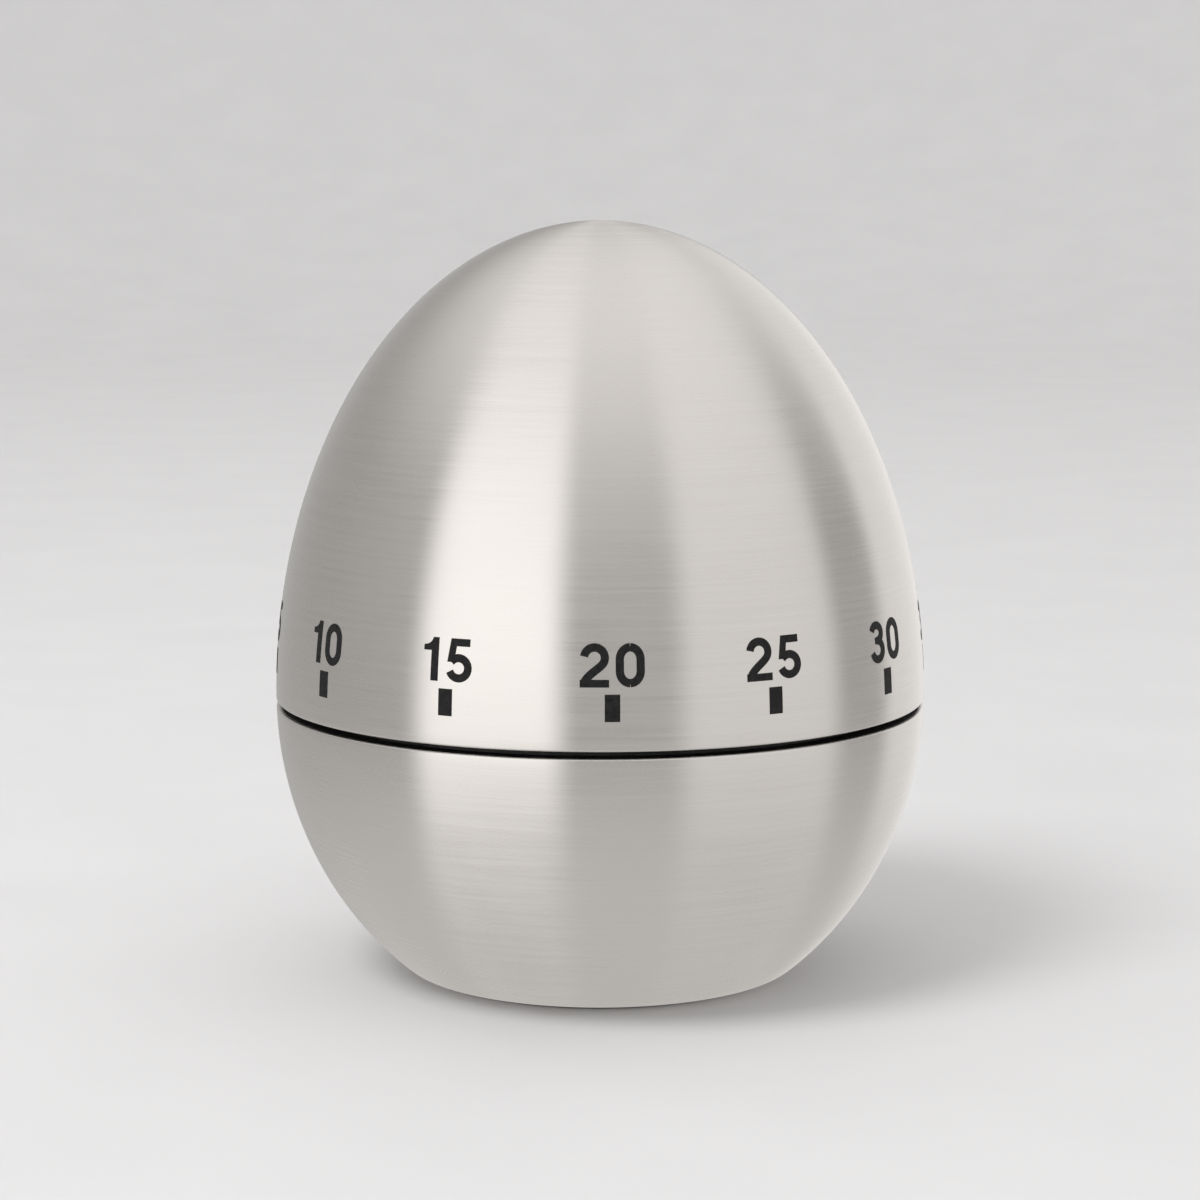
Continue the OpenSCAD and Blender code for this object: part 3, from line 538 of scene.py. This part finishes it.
def satin_brass():
    """Rolled brass sheet: grain along one direction, with faint darker patches of tarnish."""
    made, tree, surface = material("satin_brass", 1, 0.34)
    grain = noise(tree, millimetres(tree, (14, 0.5, 6)), 1, 4, 0.7)
    patch = noise(tree, millimetres(tree), 0.22, 4, 0.6)
    tree.links.new(tinted(tree, spread(tree, patch, 0, 1), (0.62, 0.43, 0.17), (0.83, 0.62, 0.28)),
                   surface.inputs["Base Color"])
    tree.links.new(spread(tree, grain, 0.26, 0.42), surface.inputs["Roughness"])
    bumped(tree, surface, [(grain, 0.004 * MM)])
    return made


def moulded_black():
    """Black plastic with the fine spark texture of its mould."""
    made, tree, surface = material("moulded_black", 0, 0.5, (0.018, 0.018, 0.019))
    pits = noise(tree, millimetres(tree), 5.5, 3, 0.6)
    cloud = noise(tree, millimetres(tree), 0.3, 3)
    tree.links.new(tinted(tree, spread(tree, cloud, 0, 1), (0.014, 0.014, 0.015), (0.026, 0.026, 0.027)),
                   surface.inputs["Base Color"])
    tree.links.new(spread(tree, pits, 0.42, 0.6), surface.inputs["Roughness"])
    bumped(tree, surface, [(pits, 0.03 * MM)])
    return made


def printing_ink():
    """Pad printed black ink: satin, slightly uneven in thickness."""
    made, tree, surface = material("printing_ink", 0, 0.6, (0.012, 0.012, 0.013))
    surface.inputs["Specular IOR Level"].default_value = 0.12
    film = noise(tree, millimetres(tree), 3, 3)
    tree.links.new(tinted(tree, spread(tree, film, 0, 1), (0.009, 0.009, 0.010), (0.022, 0.021, 0.021)),
                   surface.inputs["Base Color"])
    tree.links.new(spread(tree, film, 0.5, 0.65), surface.inputs["Roughness"])
    bumped(tree, surface, [(film, 0.006 * MM)])
    return made


def plated_bell():
    """Pressed steel bell with bright nickel plating."""
    made, tree, surface = material("nickel_plate", 1, 0.16, (0.72, 0.70, 0.66))
    swirl = noise(tree, millimetres(tree), 0.5, 4)
    tree.links.new(tinted(tree, spread(tree, swirl, 0, 1), (0.62, 0.60, 0.56), (0.76, 0.74, 0.70)),
                   surface.inputs["Base Color"])
    tree.links.new(spread(tree, swirl, 0.1, 0.24), surface.inputs["Roughness"])
    bumped(tree, surface, [(swirl, 0.02 * MM)])
    return made


def blued_spring():
    """Tempered spring strip, dark blue to straw."""
    made, tree, surface = material("blued_spring", 1, 0.3)
    heat = noise(tree, millimetres(tree), 0.35, 3)
    tree.links.new(tinted(tree, spread(tree, heat, 0, 1), (0.10, 0.13, 0.24), (0.30, 0.27, 0.25)),
                   surface.inputs["Base Color"])
    lines = noise(tree, millimetres(tree, (0.5, 0.5, 16)), 1, 3)
    tree.links.new(spread(tree, lines, 0.22, 0.4), surface.inputs["Roughness"])
    bumped(tree, surface, [(lines, 0.003 * MM)])
    return made


def dress(obj, look):
    obj.data.materials.clear()
    obj.data.materials.append(look)


def break_edges(obj, width):
    """Rounds the sharp edges of a CAD node, after its flat faces are each made one."""
    weld = obj.modifiers.new("weld", "WELD")
    weld.merge_threshold = 0.0005 * MM
    flat = obj.modifiers.new("flat_faces", "DECIMATE")
    flat.decimate_type = "DISSOLVE"
    flat.angle_limit = math.radians(1)
    bevel = obj.modifiers.new("broken_edges", "BEVEL")
    bevel.width = width
    bevel.segments = 2
    bevel.limit_method = "ANGLE"
    bevel.angle_limit = SHARP_ANGLE
    bevel.harden_normals = True


# ---- studio ----

# brightness of the studio: grey walls, a paler ceiling and table, and soft boxes on the walls
WALL_LIGHT = 0.5
CEILING_LIGHT = 1.2
TABLE_LIGHT = 0.8
BACKDROP_LIGHT = 0.8
STUDIO_TINT = (1.0, 0.985, 0.965)
# sines of the heights between which the walls give way to the ceiling and to the table
WALL_TO_CEILING = (0.3, 0.95)
WALL_TO_TABLE = (-0.1, -0.6)
# key, fill and back soft box: degrees to the right of the camera, half width in degrees, brightness
SOFT_BOXES = [(-40, 20, 1.2), (60, 25, 0.5), (145, 20, 0.5)]
BOX_FADE = 12


def soft_light(name, location, target, size, power):
    """Round area light that throws the soft shadow but is not mirrored in the steel."""
    data = bpy.data.lights.new(name, "AREA")
    data.shape = "DISK"
    data.size = size
    data.energy = power
    light = bpy.data.objects.new(name, data)
    light.location = location
    light.rotation_euler = (Vector(target) - Vector(location)).to_track_quat("-Z", "Y").to_euler()
    light.visible_glossy = False
    bpy.context.scene.collection.objects.link(light)


def stage_floor():
    """Pale floor that rises into a wall all round, far from the object."""
    profile = [(0, 0), (FLOOR_R / 4, 0), (FLOOR_R / 2, 0), (FLOOR_R, 0)]
    profile += arc(FLOOR_R, WALL_BEND_R, WALL_BEND_R, WALL_BEND_R, -90, 0, 24)[1:]
    profile.append((FLOOR_R + WALL_BEND_R, WALL_HEIGHT))
    floor = revolve("studio_floor", [(r, z + FLOOR_Z) for r, z in profile], closed=False, segments=96)
    floor.data.flip_normals()
    floor.visible_shadow = False
    floor.visible_glossy = False
    look, tree, surface = material("studio_paper", 0, 0.9)
    surface.inputs["Specular IOR Level"].default_value = 0.1
    fibre = noise(tree, add_node(tree, "TexCoord").outputs["Object"], 40, 4)
    tree.links.new(tinted(tree, spread(tree, fibre, 0, 1), (0.66, 0.66, 0.667), (0.68, 0.68, 0.687)),
                   surface.inputs["Base Color"])
    dress(floor, look)


def studio_world():
    """Grey walls with soft boxes round the object, between a pale table and a pale ceiling."""
    world = bpy.data.worlds.new("studio")
    world.use_nodes = True
    bpy.context.scene.world = world
    tree = world.node_tree
    tree.nodes.clear()
    way = add_node(tree, "TexCoord").outputs["Generated"]
    parts = add_node(tree, "SeparateXYZ", {0: way})
    height = parts.outputs[2]
    azimuth = maths(tree, "ARCTAN2", parts.outputs[0], maths(tree, "MULTIPLY", parts.outputs[1], -1.0))
    light = WALL_LIGHT
    for place, half_width, brightness in SOFT_BOXES:
        box = maths(tree, "MULTIPLY", soft_box(tree, azimuth, place, half_width), brightness)
        light = maths(tree, "ADD", box, light)
    light = blended(tree, light, CEILING_LIGHT, ramp(tree, height, *WALL_TO_CEILING))
    light = blended(tree, light, TABLE_LIGHT, ramp(tree, height, *WALL_TO_TABLE))
    seen = blended(tree, light, BACKDROP_LIGHT, add_node(tree, "LightPath").outputs["Is Camera Ray"])
    channels = {i: maths(tree, "MULTIPLY", seen, share) for i, share in enumerate(STUDIO_TINT)}
    color = add_node(tree, "CombineColor", channels)
    background = add_node(tree, "Background", {"Color": color.outputs[0], "Strength": 1.0})
    tree.links.new(background.outputs[0], add_node(tree, "OutputWorld").inputs[0])


def ramp(tree, value, start, end):
    """Smooth step from 0 at start to 1 at end."""
    return add_node(tree, "MapRange", {"Value": value, "From Min": start, "From Max": end},
                    interpolation_type="SMOOTHSTEP").outputs[0]


def blended(tree, first, second, factor):
    return add_node(tree, "Mix", {0: factor, 2: first, 3: second}).outputs[0]


def soft_box(tree, azimuth, place, half_width):
    """1 in the directions that a soft box fills, fading to 0 beyond its edges."""
    offset = maths(tree, "SUBTRACT", azimuth, math.radians(place))
    away = maths(tree, "ABSOLUTE", offset, 0.0)
    return ramp(tree, away, math.radians(half_width + BOX_FADE), math.radians(half_width))


def photo_camera():
    data = bpy.data.cameras.new("camera")
    data.lens = CAMERA_LENS
    data.clip_start = 0.01
    data.clip_end = 10
    camera = bpy.data.objects.new("camera", data)
    camera.location = (0, -CAMERA_DISTANCE, CAMERA_HEIGHT)
    aim = Vector((0, 0, CAMERA_AIM_Z)) - camera.location
    camera.rotation_euler = aim.to_track_quat("-Z", "Y").to_euler()
    bpy.context.scene.collection.objects.link(camera)
    bpy.context.scene.camera = camera


# ---- the object ----

LOOKS = {
    "steel": brushed_egg_steel(),
    "black_plastic": moulded_black(),
    "ink": printing_ink(),
    "brass": satin_brass(),
    "bright_steel": ground_steel("ground_steel", (0.60, 0.60, 0.61), 0.3),
    "bell_steel": plated_bell(),
    "spring_steel": blued_spring(),
}

# radius of the broken edges of the CAD's pieces, by material
EDGE_WIDTHS = {
    "black_plastic": 0.12 * MM,
    "brass": 0.05 * MM,
    "bright_steel": 0.05 * MM,
    "bell_steel": 0.15 * MM,
}
PIECES = [
    (dial_shell(), "dial", "upper_shell", "steel"),
    (cup_shell(), "base", "lower_shell", "steel"),
    (minute_marks(), "dial", "minute_scale", "ink"),
    (pointer(), "base", "pointer_mark", "ink"),
    (mainspring(), "base", "mainspring", "spring_steel"),
    (hairspring(), "base", "hairspring", "spring_steel"),
]
replaced = {stands_for for _, _, stands_for, _ in PIECES}
for node_name, cad_node in frame["nodes"].items():
    slot_name = cad_node.data.materials[0].name.split(".")[0]
    dress(cad_node, LOOKS[slot_name])
    if node_name not in replaced and slot_name in EDGE_WIDTHS:
        break_edges(cad_node, EDGE_WIDTHS[slot_name])
for piece, body, stands_for, slot in PIECES:
    dress(piece, LOOKS[slot])
    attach(piece, body)
    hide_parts(stands_for)

stage_floor()
studio_world()
soft_light("key_light", KEY_PLACE, KEY_AIM, KEY_SIZE, KEY_POWER)
photo_camera()
bpy.context.scene.view_settings.view_transform = "Standard"
